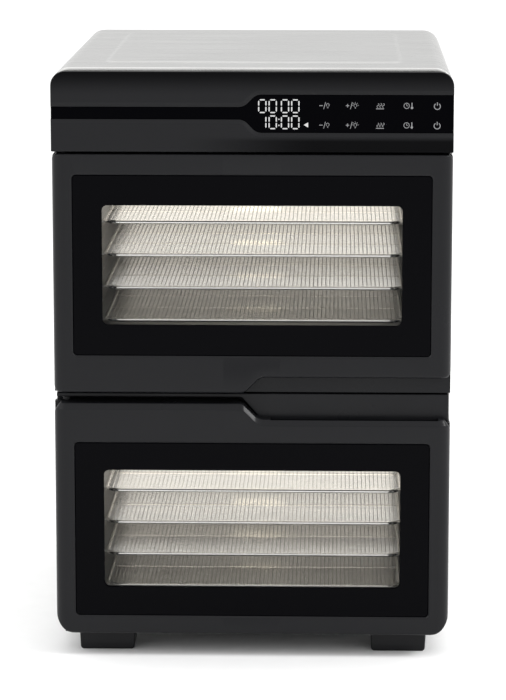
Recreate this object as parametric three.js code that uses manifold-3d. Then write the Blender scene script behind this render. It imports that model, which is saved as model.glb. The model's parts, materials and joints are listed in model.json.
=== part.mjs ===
// A box food dehydrator with two stacked drying zones, each with its own glazed door, fan, heater and
// four mesh trays. Millimetres, +X right, +Y to the rear, +Z up. The origin is on the floor at the centre.
import * as THREE from "three";
import { mergeVertices } from "three/addons/utils/BufferGeometryUtils.js";
import Module from "manifold-3d";

const wasm = await Module();
wasm.setup();

// Overall
const HALF_WIDTH = 172.5;
const FRONT_Y = -210;
const REAR_Y = 210;
const GAP = 0.3; // between pieces that touch
const BIG = 400; // reach of a cutting block past the piece it cuts

// Levels from front to back
const GRIP_WALL_Y = -196; // wall behind the door grips, and the front of the divider bar
const DOOR_BACK_Y = -182;
const FRAME_FRONT_Y = -180;
const FRAME_BACK_Y = -165;
const BAFFLE_Y = 125;
const LINER_REAR_Y = 170;
const REAR_PANEL_Y = [207, 207.8];

// Cabinet
const SHEET = 0.8;
const BODY_BOTTOM_Z = 19.9;
const COVER_TOP_Z = 518.5;
const EMBOSS_HEIGHT = 1.5;
const COVER_CORNER_R = 16;
const COVER_NOSE_Y = -200; // the top of the cover reaches forward over the fascia
const COVER_NOSE_Z = COVER_TOP_Z - COVER_CORNER_R;
const NOSE_LIP = 3.5;
const RETURN_X = HALF_WIDTH - COVER_CORNER_R; // where the cover's bottom returns end

// Control fascia and its glossy lens strip, narrow at the left and tall at the right
const FASCIA_LOW_Z = 446.9;
const FASCIA_HIGH_Z = 515.8;
const FASCIA_CORNER_R = 12.3;
const FASCIA_WALL = 3.5;
const LENS_LEFT_Z = [474.8, 485.6];
const LENS_RIGHT_Z = [463.5, 496.3];
const LENS_STEP_X = [-7, 3.7];
const LENS_STEP_R = 11.3;
const LENS_FACE_Y = FRONT_Y + 1.8;
const LENS_THICK = 1.9;
const LENS_SEAT_Y = LENS_FACE_Y + LENS_THICK + GAP;
const LENS_BEVEL = 4;
const LENS_WALL = 3; // fascia wall behind the lens
const BOARD_X = [0, 164];
const BOARD_THICK = 1.6;
const DISPLAY_X = [3, 47];

// Zones. The lower zone's own heights are heights above the floor; the upper zone is one pitch higher.
const ZONES = { upper: 240, lower: 0 };
const CHAMBER_HALF_WIDTH = 141.5;
const CHAMBER_Z = [34, 186];
const MOUTH_HALF_WIDTH = 140;
const LINER_WALL = 0.8;
const FAN_Z = 110;
const FAN_Y = [139, 160];
const FAN_HUB_R = 13;
const FAN_TIP_R = 44;
const SHAFT_R = 2.5;
const SHAFT_TIP_Y = 146;
const HEATER_RING_R = 58;
const CATCH_X = [152, 165];
const CATCH_Z = [97, 123];

// Trays
const TRAY_COUNT = 4;
const LOWEST_TRAY_Z = 53.5;
const TRAY_PITCH = 29;
const TRAY_HALF_WIDTH = 132;
const TRAY_Y = [-169.6, 105.6];
const TRAY_ROD = 3.2;
const TRAY_CORNER_R = 13;
const TRAY_SHEET = 1;
const TRAY_SLOTS = 10;
const LEDGE_EDGE_X = 127.5;

// Doors
const UPPER_DOOR = { low: 236.4, grip: 250.2, top: 444.9, wallLow: 235.4 };
const LOWER_DOOR = { low: 20.4, top: 227, grip: 213.1, wallTop: 208.5 };
const GLASS = { upper: [269.3, 427], lower: [36.8, 192.3] };
const WINDOW = { upper: [296.1, 400.7], lower: [62.5, 167.8] };
const GLASS_HALF_WIDTH = 155;
const WINDOW_HALF_WIDTH = 129.5;
const GLASS_Y = [FRONT_Y + 0.8, FRONT_Y + 4.8];
const DOOR_SIDE_R = 9.5;
const DOOR_CORNER_R = 3.5;
const LOWER_CORNER_R = 16;
const UPPER_STEP_X = [-6.5, 7.3];
const LOWER_STEP_X = [-8.5, 5.4];
const LINER_PLATE = 2;
const CASING_BACK_Y = DOOR_BACK_Y - LINER_PLATE - GAP;
const GRIP_X = [16, 162];
const GRIP_DEPTH = 12;
const GRIP_SKIN = 3;
const DOOR_WALL = 3;
const TUNNEL_MARGIN = 5; // how far the opening behind the glass reaches past the clear window

// Hinges: one vertical axis down the left side for both doors
const HINGE_X = -162.5;
const HINGE_Y = -192;
const HINGE_EDGE_R = 10;
const PIN_R = 2;
const PIN_LENGTH = 11;

// Divider bar between the doors
const DIVIDER_TOP_Z = 233.8;
const DIVIDER_LEFT_Z = 230.3;
const DIVIDER_RIGHT_Z = 210;

// Rear fittings
const BUSHING = { x: -125, z: 52, neck: 7, bore: 3.6 };
const SCREW = { head: 4, shank: 1.8, length: 6 };

// Feet
const FOOT_X = [104.25, 153.75];
const FOOT_DEPTH = 38;
const FOOT_SETBACK = 22;
const FOOT_HEIGHT = BODY_BOTTOM_Z - GAP;

function finish(color, roughness, metalness) {
  return new THREE.MeshStandardMaterial({ color, roughness, metalness, flatShading: true });
}

const BRUSHED = finish(0xc9c9c6, 0.35, 1);
const BLACK = finish(0x2b2b2e, 0.45, 0);
const GLOSS = finish(0x08080c, 0.08, 0);
const TINTED = finish(0x101014, 0.05, 0);
const STEEL = finish(0xb4b4b4, 0.4, 1);
const DARK_STEEL = finish(0x1c1c1e, 0.6, 0.6);
const RUBBER = finish(0x3a3a3a, 0.9, 0);
const BOARD = finish(0x1f4d2b, 0.7, 0);
const LAMP = finish(0xfff4dc, 0.5, 0);

// Solids from three.js geometry

function solid(geometry) {
  geometry.deleteAttribute("normal");
  geometry.deleteAttribute("uv");
  const merged = mergeVertices(geometry, 1e-4);
  const vertProperties = merged.getAttribute("position").array;
  const triVerts = new Uint32Array(merged.getIndex().array);
  return new wasm.Manifold(new wasm.Mesh({ numProp: 3, vertProperties, triVerts }));
}

function block([x0, x1], [y0, y1], [z0, z1]) {
  const geometry = new THREE.BoxGeometry(x1 - x0, y1 - y0, z1 - z0);
  geometry.translate((x0 + x1) / 2, (y0 + y1) / 2, (z0 + z1) / 2);
  return solid(geometry);
}

// A closed outline through [x, y, radius] corners, each rounded by its radius.
function outline(corners, curve = new THREE.Shape()) {
  corners.forEach(([x, y, radius = 0], i) => {
    const corner = new THREE.Vector2(x, y);
    const before = corners[(i + corners.length - 1) % corners.length];
    const after = corners[(i + 1) % corners.length];
    const back = new THREE.Vector2(before[0], before[1]).sub(corner).normalize();
    const ahead = new THREE.Vector2(after[0], after[1]).sub(corner).normalize();
    const turn = Math.PI - Math.acos(THREE.MathUtils.clamp(back.dot(ahead), -1, 1));
    const start = corner.clone().addScaledVector(back, radius * Math.tan(turn / 2));
    const end = corner.clone().addScaledVector(ahead, radius * Math.tan(turn / 2));
    const handle = (4 / 3) * Math.tan(turn / 4) * radius;
    const first = start.clone().addScaledVector(back, -handle);
    const second = end.clone().addScaledVector(ahead, -handle);
    if (i === 0) curve.moveTo(start.x, start.y);
    else curve.lineTo(start.x, start.y);
    if (radius > 0) curve.bezierCurveTo(first.x, first.y, second.x, second.y, end.x, end.y);
  });
  curve.closePath();
  return curve;
}

function rectangle([x0, x1], [y0, y1], radius = 0, topRadius = radius) {
  return outline([
    [x0, y0, radius],
    [x1, y0, radius],
    [x1, y1, topRadius],
    [x0, y1, topRadius],
  ]);
}

function alongZ(shape, [z0, z1], curveSegments = 5) {
  const geometry = new THREE.ExtrudeGeometry(shape, {
    depth: z1 - z0,
    bevelEnabled: false,
    curveSegments,
  });
  geometry.translate(0, 0, z0);
  return solid(geometry);
}

// Extrudes an outline in X and Z from y0 to y1.
function alongY(shape, [y0, y1], curveSegments = 5) {
  const geometry = new THREE.ExtrudeGeometry(shape, {
    depth: y1 - y0,
    bevelEnabled: false,
    curveSegments,
  });
  geometry.rotateX(Math.PI / 2);
  geometry.translate(0, y1, 0);
  return solid(geometry);
}

function rodZ(x, y, radius, [z0, z1], sides = 12) {
  const geometry = new THREE.CylinderGeometry(radius, radius, z1 - z0, sides);
  geometry.rotateX(Math.PI / 2);
  geometry.translate(x, y, (z0 + z1) / 2);
  return solid(geometry);
}

function rodY(x, z, radius, [y0, y1], sides = 16) {
  const geometry = new THREE.CylinderGeometry(radius, radius, y1 - y0, sides);
  geometry.translate(x, (y0 + y1) / 2, z);
  return solid(geometry);
}

// Turns a profile of [radius, y] points about the Y axis.
function turned(profile, sides) {
  const points = profile.map(([radius, y]) => new THREE.Vector2(radius, y));
  return solid(new THREE.LatheGeometry(points, sides));
}

// A named mesh of a solid.
function piece(name, shape, material) {
  const { vertProperties, triVerts } = shape.getMesh();
  const geometry = new THREE.BufferGeometry();
  geometry.setAttribute("position", new THREE.BufferAttribute(vertProperties, 3));
  geometry.setIndex(new THREE.BufferAttribute(triVerts, 1));
  geometry.computeVertexNormals();
  const mesh = new THREE.Mesh(geometry, material);
  mesh.name = name;
  return mesh;
}

// Cabinet

// The section of the sheet cover, seen from the front, with all four corners rounded.
function coverSection(inset) {
  return rectangle(
    [-HALF_WIDTH + inset, HALF_WIDTH - inset],
    [BODY_BOTTOM_Z + inset, COVER_TOP_Z - inset],
    COVER_CORNER_R - inset,
  );
}

// The raised rectangle pressed into the top, as a low frustum.
function embossedPanel() {
  const slope = 8;
  const halfWidth = 124;
  const frontY = -152;
  const depth = 312;
  const shape = rectangle([-halfWidth, halfWidth], [frontY, frontY + depth], 6);
  const geometry = new THREE.ExtrudeGeometry(shape, {
    depth: 0.1,
    bevelThickness: EMBOSS_HEIGHT,
    bevelSize: slope,
    bevelSegments: 1,
    curveSegments: 3,
  });
  geometry.translate(0, 0, COVER_TOP_Z - 0.1);
  return solid(geometry).intersect(block([-BIG, BIG], [-BIG, BIG], [COVER_TOP_Z - 0.1, BIG * 2]));
}

// Top, sides and two bottom returns in one folded sheet. The base pan closes it below.
function outerCover() {
  const tube = alongY(coverSection(0), [COVER_NOSE_Y, REAR_Y]);
  const hollow = alongY(coverSection(SHEET), [COVER_NOSE_Y - 1, REAR_Y + 1]);
  const lip = alongY(coverSection(0), [COVER_NOSE_Y, COVER_NOSE_Y + SHEET]).subtract(
    alongY(coverSection(NOSE_LIP), [COVER_NOSE_Y - 1, COVER_NOSE_Y + SHEET + 1]),
  );
  const belowNose = block([-BIG, BIG], [COVER_NOSE_Y - 1, FRAME_FRONT_Y], [0, COVER_NOSE_Z]);
  const underside = block([-RETURN_X, RETURN_X], [-BIG, BIG], [0, BODY_BOTTOM_Z + SHEET + 1]);
  return tube.subtract(hollow).add(lip).subtract(belowNose).subtract(underside).add(embossedPanel());
}

function rearPanel() {
  const slotHalfWidth = 65;
  const slotHeight = 4.5;
  const slotPitch = 9.5;
  const slotsPerSide = 4;
  const across = [REAR_PANEL_Y[0] - 1, REAR_PANEL_Y[1] + 1];
  let panel = alongY(coverSection(SHEET + GAP), REAR_PANEL_Y);
  for (const base of Object.values(ZONES)) {
    for (let row = -slotsPerSide; row <= slotsPerSide; row += 1) {
      const z = base + FAN_Z + row * slotPitch;
      const slot = block([-slotHalfWidth, slotHalfWidth], across, [z, z + slotHeight]);
      panel = panel.subtract(slot);
    }
  }
  panel = panel.subtract(rodY(BUSHING.x, BUSHING.z, BUSHING.neck + GAP, across));
  for (const [x, z] of screwPlaces()) panel = panel.subtract(rodY(x, z, SCREW.shank + GAP, across, 8));
  return panel;
}

function basePan() {
  const slotCount = 6;
  const slotPitch = 34;
  const slotWidth = 6;
  const slotLength = 60;
  const z = [BODY_BOTTOM_Z, BODY_BOTTOM_Z + SHEET];
  const y = [FRAME_FRONT_Y + GAP, REAR_PANEL_Y[1]];
  let pan = block([-RETURN_X + GAP, RETURN_X - GAP], y, z);
  for (const slotY of [-90, 60]) {
    for (let i = 0; i < slotCount; i += 1) {
      const x = (i - (slotCount - 1) / 2) * slotPitch;
      const slotX = [x - slotWidth / 2, x + slotWidth / 2];
      pan = pan.subtract(block(slotX, [slotY, slotY + slotLength], [z[0] - 1, z[1] + 1]));
    }
  }
  return pan;
}

// The moulded bulkhead behind the doors, with the divider bar that stands forward between them.
function frontFrame() {
  const y = [FRAME_FRONT_Y, FRAME_BACK_Y];
  let frame = alongY(coverSection(SHEET + GAP), y);
  for (const base of Object.values(ZONES)) {
    const mouthZ = CHAMBER_Z.map((z) => z + base);
    const mouth = rectangle([-MOUTH_HALF_WIDTH, MOUTH_HALF_WIDTH], mouthZ, 4);
    frame = frame.subtract(alongY(mouth, [y[0] - 1, y[1] + 1], 3));
    frame = frame.subtract(catchBlock(0, [y[0] - 1, y[1] + 1]).translate(0, 0, base));
  }
  const pinHole = rodZ(HINGE_X, HINGE_Y, PIN_R + GAP, [DIVIDER_RIGHT_Z, DIVIDER_TOP_Z + 1]);
  return frame.add(dividerBar()).subtract(pinHole);
}

function dividerBar() {
  const half = HALF_WIDTH - 1.5;
  const shape = outline([
    [-half, DIVIDER_LEFT_Z],
    [LOWER_STEP_X[0] - 1, DIVIDER_LEFT_Z, 5],
    [LOWER_STEP_X[1] + 3, DIVIDER_RIGHT_Z, 5],
    [half, DIVIDER_RIGHT_Z],
    [half, DIVIDER_TOP_Z],
    [-half, DIVIDER_TOP_Z],
  ]);
  return alongY(shape, [GRIP_WALL_Y, FRAME_FRONT_Y + 1]);
}

function foot() {
  const taper = 1;
  const shape = outline([
    [FOOT_X[0] + taper, 0, 3],
    [FOOT_X[1] - taper, 0, 3],
    [FOOT_X[1], FOOT_HEIGHT],
    [FOOT_X[0], FOOT_HEIGHT],
  ]);
  return alongY(shape, [-FOOT_DEPTH / 2, FOOT_DEPTH / 2], 3);
}

function feet() {
  const group = new THREE.Group();
  const reach = -FRONT_Y - FOOT_SETBACK - FOOT_DEPTH / 2;
  const centreX = (FOOT_X[0] + FOOT_X[1]) / 2;
  for (const [end, y] of Object.entries({ front: -reach, rear: reach })) {
    for (const [side, x] of Object.entries({ left: -2 * centreX, right: 0 })) {
      const mesh = piece(`${end}_${side}_foot`, foot(), BLACK);
      mesh.position.set(x, y, 0);
      group.add(mesh);
    }
  }
  return group;
}

// Controls

function lensOutline(inset) {
  const half = HALF_WIDTH - inset;
  return outline([
    [-half, LENS_LEFT_Z[0] + inset],
    [LENS_STEP_X[0], LENS_LEFT_Z[0] + inset, LENS_STEP_R],
    [LENS_STEP_X[1], LENS_RIGHT_Z[0] + inset, LENS_STEP_R],
    [half, LENS_RIGHT_Z[0] + inset],
    [half, LENS_RIGHT_Z[1] - inset],
    [LENS_STEP_X[1], LENS_RIGHT_Z[1] - inset, LENS_STEP_R],
    [LENS_STEP_X[0], LENS_LEFT_Z[1] - inset, LENS_STEP_R],
    [-half, LENS_LEFT_Z[1] - inset],
  ]);
}

// The recess for the lens strip, open at both ends of the fascia, with a sloped border.
function lensRecess() {
  const straight = alongY(lensOutline(-1), [FRONT_Y - 1, LENS_SEAT_Y]);
  const border = new THREE.ExtrudeGeometry(lensOutline(0), {
    depth: LENS_BEVEL,
    bevelThickness: LENS_FACE_Y - FRONT_Y,
    bevelSize: LENS_BEVEL,
    bevelSegments: 1,
    curveSegments: 5,
  });
  border.rotateX(Math.PI / 2);
  border.translate(0, FRONT_Y, 0);
  const core = alongY(lensOutline(0), [FRONT_Y - 1, LENS_SEAT_Y]);
  const ends = straight.intersect(
    block([-BIG, BIG], [-BIG, BIG], [0, BIG * 2]).subtract(
      block([-HALF_WIDTH + 1, HALF_WIDTH - 1], [-BIG, BIG], [0, BIG * 2]),
    ),
  );
  return core.add(solid(border)).add(ends);
}

function controlFascia() {
  const noseY = COVER_NOSE_Y - GAP;
  const backY = FRAME_FRONT_Y - GAP;
  const front = rectangle([-HALF_WIDTH, HALF_WIDTH], [FASCIA_LOW_Z, FASCIA_HIGH_Z], 1, FASCIA_CORNER_R);
  const sides = rectangle([-HALF_WIDTH, HALF_WIDTH], [FASCIA_LOW_Z, COVER_NOSE_Z - GAP], 1);
  const underCover = NOSE_LIP + GAP;
  const crown = rectangle(
    [-HALF_WIDTH + underCover, HALF_WIDTH - underCover],
    [FASCIA_LOW_Z, COVER_TOP_Z - underCover],
    0,
    COVER_CORNER_R - underCover,
  );
  const wallBackY = LENS_SEAT_Y + LENS_WALL;
  const hollow = block(
    [-HALF_WIDTH + 2 * FASCIA_WALL, HALF_WIDTH - 2 * FASCIA_WALL],
    [wallBackY, backY + 1],
    [FASCIA_LOW_Z + FASCIA_WALL, FASCIA_HIGH_Z - 1.5 * FASCIA_WALL],
  );
  const windows = block(
    [BOARD_X[0] + 2, BOARD_X[1] - 2],
    [FRONT_Y, wallBackY + 1],
    [LENS_RIGHT_Z[0] + 3, LENS_RIGHT_Z[1] - 3],
  );
  const pinHole = rodZ(HINGE_X, HINGE_Y, PIN_R + GAP, [FASCIA_LOW_Z - 1, FASCIA_LOW_Z + FASCIA_WALL + 1]);
  return alongY(front, [FRONT_Y, noseY])
    .add(alongY(sides, [noseY - 1, backY]))
    .add(alongY(crown, [noseY - 1, backY]))
    .subtract(hollow)
    .subtract(lensRecess())
    .subtract(windows)
    .subtract(pinHole);
}

function controls() {
  const group = new THREE.Group();
  const boardY = LENS_SEAT_Y + LENS_WALL + GAP;
  const lens = alongY(lensOutline(GAP), [LENS_FACE_Y, LENS_FACE_Y + LENS_THICK]);
  const board = block(BOARD_X, [boardY, boardY + BOARD_THICK], [LENS_RIGHT_Z[0] - 3, LENS_RIGHT_Z[1] + 3]);
  const displayZ = [LENS_RIGHT_Z[0] + 4, LENS_RIGHT_Z[1] - 4];
  const display = block(DISPLAY_X, [LENS_SEAT_Y + 0.1, boardY - GAP], displayZ);
  group.add(piece("control_fascia", controlFascia(), BLACK));
  group.add(piece("display_lens", lens, GLOSS));
  group.add(piece("control_board", board, BOARD));
  group.add(piece("display_module", display, GLOSS));
  return group;
}

// Drying zones

function trayZ(index) {
  return LOWEST_TRAY_Z + index * TRAY_PITCH;
}

// An open-fronted box round the chamber and its fan space, with a hole for the motor shaft.
function zoneLiner() {
  const outer = block(
    [-CHAMBER_HALF_WIDTH - LINER_WALL, CHAMBER_HALF_WIDTH + LINER_WALL],
    [FRAME_BACK_Y + GAP, LINER_REAR_Y],
    [CHAMBER_Z[0] - LINER_WALL, CHAMBER_Z[1] + LINER_WALL],
  );
  const inner = block(
    [-CHAMBER_HALF_WIDTH, CHAMBER_HALF_WIDTH],
    [FRAME_BACK_Y - 1, LINER_REAR_Y - LINER_WALL],
    CHAMBER_Z,
  );
  const shaftHole = rodY(0, FAN_Z, 6, [LINER_REAR_Y - 5, LINER_REAR_Y + 1], 12);
  return outer.subtract(inner).subtract(shaftHole);
}

// The left rack: a wall plate with one ledge under each tray.
function leftRack() {
  const y = [-150, 115];
  const wallX = -CHAMBER_HALF_WIDTH + GAP;
  let rack = block([wallX, wallX + SHEET], y, [CHAMBER_Z[0] + 6, trayZ(TRAY_COUNT - 1) + 8]);
  for (let i = 0; i < TRAY_COUNT; i += 1) {
    const top = trayZ(i) - TRAY_ROD / 2 - GAP;
    rack = rack.add(block([wallX, -LEDGE_EDGE_X], y, [top - SHEET, top]));
  }
  return rack;
}

// The grille in front of the fan: a round intake in the middle and outlet slots at both sides.
function fanBaffle() {
  const intakeR = 46;
  const across = [BAFFLE_Y - 1, BAFFLE_Y + SHEET + 1];
  let plate = block(
    [-CHAMBER_HALF_WIDTH + GAP, CHAMBER_HALF_WIDTH - GAP],
    [BAFFLE_Y, BAFFLE_Y + SHEET],
    [CHAMBER_Z[0] + GAP, CHAMBER_Z[1] - GAP],
  );
  for (let row = -3; row <= 3; row += 1) {
    const rise = row * 11;
    const half = Math.sqrt(intakeR * intakeR - rise * rise);
    plate = plate.subtract(
      block([-half, half], across, [FAN_Z + rise - 2.5, FAN_Z + rise + 2.5]),
    );
  }
  for (const side of [-1, 1]) {
    for (let column = 0; column < 4; column += 1) {
      const x = side * (88 + column * 13);
      plate = plate.subtract(block([x - 2.5, x + 2.5], across, [FAN_Z - 52, FAN_Z + 52]));
    }
  }
  return plate;
}

// A sheathed ring element round the fan, on two legs from the rear wall.
function heater() {
  const tubeR = 3;
  const y = 147;
  const ring = new THREE.TorusGeometry(HEATER_RING_R, tubeR, 6, 28);
  ring.rotateX(Math.PI / 2);
  ring.translate(0, y, FAN_Z);
  const legX = 14;
  const legZ = FAN_Z + Math.sqrt(HEATER_RING_R * HEATER_RING_R - legX * legX);
  return [-legX, legX].reduce(
    (shape, x) => shape.add(rodY(x, legZ, tubeR - 0.4, [y, LINER_REAR_Y - LINER_WALL - GAP], 8)),
    solid(ring),
  );
}

// The motor stands behind the liner, and its shaft reaches through to the fan.
function motor() {
  const faceY = LINER_REAR_Y + GAP;
  const flangeR = 34;
  const bodyR = 26;
  const bossR = 8;
  return turned(
    [
      [0, SHAFT_TIP_Y],
      [SHAFT_R, SHAFT_TIP_Y],
      [SHAFT_R, faceY],
      [flangeR, faceY],
      [flangeR, faceY + 2],
      [bodyR, faceY + 2],
      [bodyR, faceY + 20],
      [bodyR - 4, faceY + 23],
      [bossR, faceY + 23],
      [bossR, faceY + 27],
      [0, faceY + 27],
    ],
    20,
  ).translate(0, 0, FAN_Z);
}

// Built round the Y axis, so that its mesh can be placed on the shaft.
function fanRotor() {
  const bladeCount = 7;
  const bladeWidth = 20;
  const bladeRootR = 9;
  const pitch = THREE.MathUtils.degToRad(32);
  let rotor = rodY(0, 0, FAN_HUB_R, FAN_Y, 16);
  for (let i = 0; i < bladeCount; i += 1) {
    const blade = new THREE.BoxGeometry(1.6, bladeWidth, FAN_TIP_R - bladeRootR);
    blade.rotateZ(pitch);
    blade.translate(0, (FAN_Y[0] + FAN_Y[1]) / 2, (FAN_TIP_R + bladeRootR) / 2);
    blade.rotateY((i * 2 * Math.PI) / bladeCount);
    rotor = rotor.add(solid(blade));
  }
  return rotor.subtract(rodY(0, 0, SHAFT_R + GAP, [SHAFT_TIP_Y - 2 * GAP, FAN_Y[1] + 1]));
}

function lamp() {
  return block([-22, 22], [-75, -51], [CHAMBER_Z[1] - 6, CHAMBER_Z[1] - GAP]);
}

function sensor() {
  const x = -110;
  const z = CHAMBER_Z[1] - 10;
  const baseY = BAFFLE_Y - GAP;
  return rodY(x, z, 2, [baseY - 28, baseY], 8).add(rodY(x, z, 5, [baseY - 4, baseY], 12));
}

// The magnet catch of a door. With no inset it is the shape of the pocket that the catch sits in.
function catchBlock(inset, y) {
  const x = [CATCH_X[0] + inset, CATCH_X[1] - inset];
  return block(x, y, [CATCH_Z[0] + inset, CATCH_Z[1] - inset]);
}

function zone(name, z) {
  const group = new THREE.Group();
  group.position.z = z;
  const magnet = catchBlock(GAP, [FRAME_FRONT_Y + GAP, FRAME_BACK_Y - 3]);
  const rack = leftRack();
  group.add(piece(`${name}_liner`, zoneLiner(), STEEL));
  group.add(piece(`${name}_left_rack`, rack, STEEL));
  group.add(piece(`${name}_right_rack`, rack.mirror([1, 0, 0]), STEEL));
  group.add(piece(`${name}_baffle`, fanBaffle(), STEEL));
  group.add(piece(`${name}_heater`, heater(), STEEL));
  group.add(piece(`${name}_motor`, motor(), DARK_STEEL));
  group.add(piece(`${name}_lamp`, lamp(), LAMP));
  group.add(piece(`${name}_sensor`, sensor(), STEEL));
  group.add(piece(`${name}_catch`, magnet, DARK_STEEL));
  const fan = piece(`${name}_fan`, fanRotor(), STEEL);
  fan.position.z = FAN_Z;
  group.add(fan);
  for (let i = 0; i < TRAY_COUNT; i += 1) {
    const mesh = piece(`${name}_tray_${TRAY_COUNT - i}`, tray(), STEEL);
    mesh.position.z = trayZ(i);
    group.add(mesh);
  }
  return group;
}

// A wire-rimmed tray. Its mesh floor is a thin sheet with long slots.
function tray() {
  const x = [-TRAY_HALF_WIDTH, TRAY_HALF_WIDTH];
  const innerX = [x[0] + TRAY_ROD, x[1] - TRAY_ROD];
  const innerY = [TRAY_Y[0] + TRAY_ROD, TRAY_Y[1] - TRAY_ROD];
  const rodZRange = [-TRAY_ROD / 2, TRAY_ROD / 2];
  const inside = rectangle(innerX, innerY, TRAY_CORNER_R - TRAY_ROD);
  const rim = alongZ(rectangle(x, TRAY_Y, TRAY_CORNER_R), rodZRange, 3).subtract(
    alongZ(inside, [-TRAY_ROD, TRAY_ROD], 3),
  );
  const sheetZ = [-TRAY_SHEET / 2, TRAY_SHEET / 2];
  let floor = alongZ(rectangle(x, TRAY_Y, TRAY_CORNER_R), sheetZ, 3);
  const pitch = (2 * TRAY_HALF_WIDTH) / (TRAY_SLOTS + 0.5);
  const margin = 18;
  for (let i = 0; i < TRAY_SLOTS; i += 1) {
    const centre = (i - (TRAY_SLOTS - 1) / 2) * pitch;
    floor = floor.subtract(
      block(
        [centre - pitch * 0.3, centre + pitch * 0.3],
        [TRAY_Y[0] + margin, TRAY_Y[1] - margin],
        rodZRange,
      ),
    );
  }
  return rim.add(floor);
}

// Doors

// The plan of a door: rounded front edges, and a hinge edge that turns about the hinge axis.
function doorPlan() {
  const shape = new THREE.Shape();
  const left = -HALF_WIDTH;
  const right = HALF_WIDTH;
  const arcY = FRONT_Y + DOOR_SIDE_R;
  const reach = CASING_BACK_Y - HINGE_Y;
  const edge = Math.PI - Math.asin(reach / HINGE_EDGE_R);
  shape.moveTo(left + DOOR_SIDE_R, FRONT_Y);
  shape.lineTo(right - DOOR_SIDE_R, FRONT_Y);
  shape.absarc(right - DOOR_SIDE_R, arcY, DOOR_SIDE_R, -Math.PI / 2, 0);
  shape.lineTo(right, CASING_BACK_Y);
  shape.absarc(HINGE_X, HINGE_Y, HINGE_EDGE_R, edge, Math.PI);
  shape.absarc(left + DOOR_SIDE_R, arcY, DOOR_SIDE_R, Math.PI, 1.5 * Math.PI);
  return shape;
}

function upperDoorFace() {
  return outline([
    [-HALF_WIDTH, UPPER_DOOR.low, DOOR_CORNER_R],
    [UPPER_STEP_X[0], UPPER_DOOR.low, 10],
    [UPPER_STEP_X[1], UPPER_DOOR.grip, 12],
    [HALF_WIDTH, UPPER_DOOR.grip, DOOR_CORNER_R],
    [HALF_WIDTH, UPPER_DOOR.top, DOOR_CORNER_R],
    [-HALF_WIDTH, UPPER_DOOR.top, DOOR_CORNER_R],
  ]);
}

function lowerDoorFace() {
  return outline([
    [-HALF_WIDTH, LOWER_DOOR.low, LOWER_CORNER_R],
    [HALF_WIDTH, LOWER_DOOR.low, LOWER_CORNER_R],
    [HALF_WIDTH, LOWER_DOOR.grip, DOOR_CORNER_R],
    [LOWER_STEP_X[1], LOWER_DOOR.grip, 12],
    [LOWER_STEP_X[0], LOWER_DOOR.top, 6],
    [-HALF_WIDTH, LOWER_DOOR.top, DOOR_CORNER_R],
  ]);
}

// The outline of a door behind its grip, grown inwards by inset.
function doorBack(name, inset) {
  const half = HALF_WIDTH - inset;
  if (name === "upper") {
    return outline([
      [-half, UPPER_DOOR.wallLow + inset],
      [half, UPPER_DOOR.wallLow + inset],
      [half, UPPER_DOOR.top - inset],
      [-half, UPPER_DOOR.top - inset],
    ]);
  }
  const low = LOWER_DOOR.low + inset;
  return outline([
    [-half, low, LOWER_CORNER_R - inset],
    [half, low, LOWER_CORNER_R - inset],
    [half, LOWER_DOOR.wallTop - inset],
    [LOWER_STEP_X[1], LOWER_DOOR.wallTop - inset, 5],
    [LOWER_STEP_X[0] - 4, LOWER_DOOR.top - inset, 5],
    [-half, LOWER_DOOR.top - inset],
  ]);
}

// The finger pocket behind the lip of a door.
function gripPocket(name) {
  const y = [FRONT_Y + GRIP_SKIN, GRIP_WALL_Y];
  const cornerR = 5;
  if (name === "upper") {
    const upperZ = [UPPER_DOOR.wallLow - 1, UPPER_DOOR.grip + GRIP_DEPTH];
    return alongY(rectangle(GRIP_X, upperZ, 0, cornerR), y, 3);
  }
  const lowerZ = [LOWER_DOOR.grip - GRIP_DEPTH - 1, LOWER_DOOR.top + 1];
  return alongY(rectangle(GRIP_X, lowerZ, cornerR, 0), y, 3);
}

function doorCasing(name) {
  const upper = name === "upper";
  const face = upper ? upperDoorFace() : lowerDoorFace();
  const doorZ = upper ? [UPPER_DOOR.wallLow, UPPER_DOOR.top] : [LOWER_DOOR.low, LOWER_DOOR.top];
  const glassZ = GLASS[name];
  const windowZ = [WINDOW[name][0] - TUNNEL_MARGIN, WINDOW[name][1] + TUNNEL_MARGIN];
  const tunnelHalf = WINDOW_HALF_WIDTH + TUNNEL_MARGIN;
  const wall = DOOR_WALL;
  const ledgeY = GLASS_Y[1] + GAP;
  const slab = alongZ(doorPlan(), [doorZ[0] - 1, doorZ[1] + 1]);
  const body = alongY(face, [FRONT_Y - 1, GRIP_WALL_Y])
    .add(alongY(doorBack(name, 0), [GRIP_WALL_Y - 0.01, CASING_BACK_Y + 1]))
    .intersect(slab);
  const rebate = alongY(
    rectangle([-GLASS_HALF_WIDTH, GLASS_HALF_WIDTH], glassZ, DOOR_CORNER_R),
    [FRONT_Y - 1, ledgeY],
    3,
  );
  const tunnel = block([-tunnelHalf, tunnelHalf], [FRONT_Y, CASING_BACK_Y + 1], windowZ);
  const hollowZ = upper ? [glassZ[0] - 3, doorZ[1] - wall] : [doorZ[0] + wall + 4, glassZ[1] + 3];
  const hollow = block([-150, HALF_WIDTH - wall - 2], [ledgeY + wall, CASING_BACK_Y + 1], hollowZ).subtract(
    block(
      [-tunnelHalf - wall, tunnelHalf + wall],
      [FRONT_Y, CASING_BACK_Y + 2],
      [windowZ[0] - wall, windowZ[1] + wall],
    ),
  );
  return body
    .subtract(rebate)
    .subtract(tunnel)
    .subtract(hollow)
    .subtract(gripPocket(name))
    .subtract(pinBores(doorZ));
}

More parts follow.
